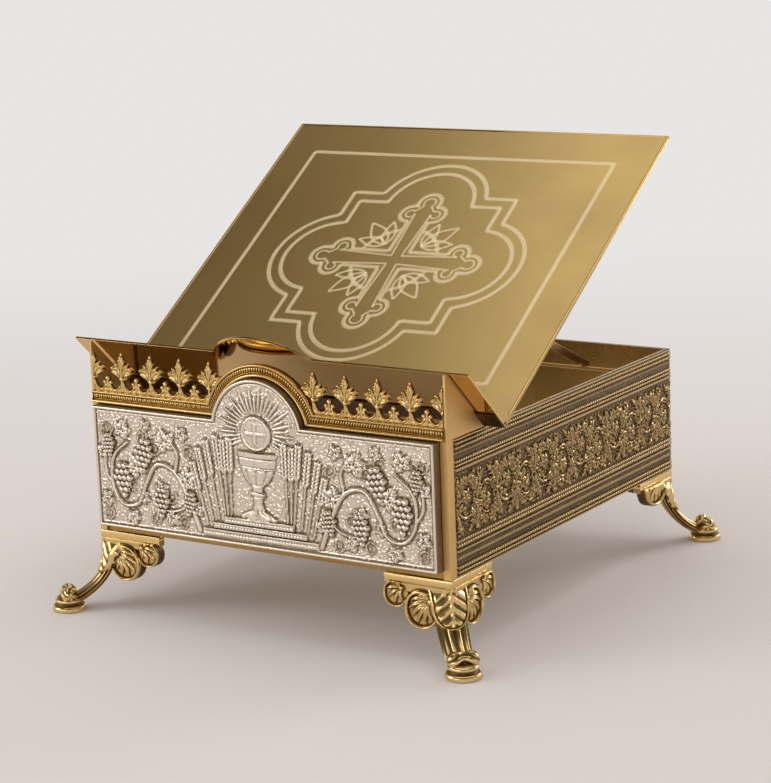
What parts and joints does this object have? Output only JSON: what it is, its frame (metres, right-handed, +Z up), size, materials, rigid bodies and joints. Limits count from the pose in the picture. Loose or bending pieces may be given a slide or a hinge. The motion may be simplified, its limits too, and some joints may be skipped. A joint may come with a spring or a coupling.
{
  "type": "missal stand",
  "caption": "Brass altar book stand: low box on cast splayed feet, relief front with arched cresting, fixed ledge and a tilting plate held by a prop stay.",
  "frame": {"origin": "on the table under the middle of the stand", "axes": "+Z up, -Y towards the relief front and the priest's side of the ledge, +X to the right seen from the front"},
  "size_m": [0.3626, 0.392, 0.3213],
  "materials": {
    "silver_plate": "silver-plated relief, polished on the high places over a stippled ground",
    "steel_fixings": "plain turned steel",
    "antique_brass": "toned stamped brass, dark in the grooves",
    "polished_brass": "mirror-polished lacquered brass",
    "cast_brass": "cast, chased and lacquered brass",
    "sheet_brass": "plain sheet, slightly tarnished",
    "satin_brass": "satin brass sheet with engraved lines",
    "gilt_brass": "gilt brass"
  },
  "bodies": {
    "base": {"front_wall": "gilt_brass", "relief_plaque": "silver_plate", "plaque_nut_1": "steel_fixings", "plaque_nut_2": "steel_fixings", "plaque_nut_3": "steel_fixings", "plaque_nut_4": "steel_fixings", "gallery_moulding": "gilt_brass", "cresting_left": "gilt_brass", "cresting_right": "gilt_brass", "corner_angle_left": "polished_brass", "corner_angle_right": "polished_brass", "side_wall_left": "sheet_brass", "side_wall_right": "sheet_brass", "back_wall": "sheet_brass", "side_strip_left": "antique_brass", "side_strip_right": "antique_brass", "back_strip": "antique_brass", "foot_front_left": "cast_brass", "gusset_front_left": "gilt_brass", "foot_washer_front_left": "steel_fixings", "foot_nut_front_left": "steel_fixings", "foot_front_right": "cast_brass", "gusset_front_right": "gilt_brass", "foot_washer_front_right": "steel_fixings", "foot_nut_front_right": "steel_fixings", "foot_back_left": "cast_brass", "gusset_back_left": "gilt_brass", "foot_washer_back_left": "steel_fixings", "foot_nut_back_left": "steel_fixings", "foot_back_right": "cast_brass", "gusset_back_right": "gilt_brass", "foot_washer_back_right": "steel_fixings", "foot_nut_back_right": "steel_fixings", "book_ledge": "polished_brass", "hinge_leaf_fixed": "gilt_brass", "hinge_pin": "steel_fixings", "prop_rail": "gilt_brass", "rail_boss_left": "gilt_brass", "rail_boss_right": "gilt_brass"},
    "plate": {"book_plate": "satin_brass", "hinge_leaf_moving": "gilt_brass", "prop_bracket": "gilt_brass", "prop_pin": "steel_fixings"},
    "prop": {"prop_stay": "gilt_brass"}
  },
  "joints": [
    {"name": "plate_tilt", "type": "hinge", "parent": "base", "child": "plate", "pos_m": [0, -0.115, 0.1562], "axis": [1, 0, 0], "range_deg": [-33.2, 0]},
    {"name": "prop_fold", "type": "hinge", "parent": "plate", "child": "prop", "pos_m": [0.098, -0.01755, 0.21271], "axis": [1, 0, 0], "range_deg": [0, 58.6]}
  ],
  "couplings": [
    {"joint": "prop_fold", "follows": "plate_tilt", "ratio": -1.76}
  ]
}
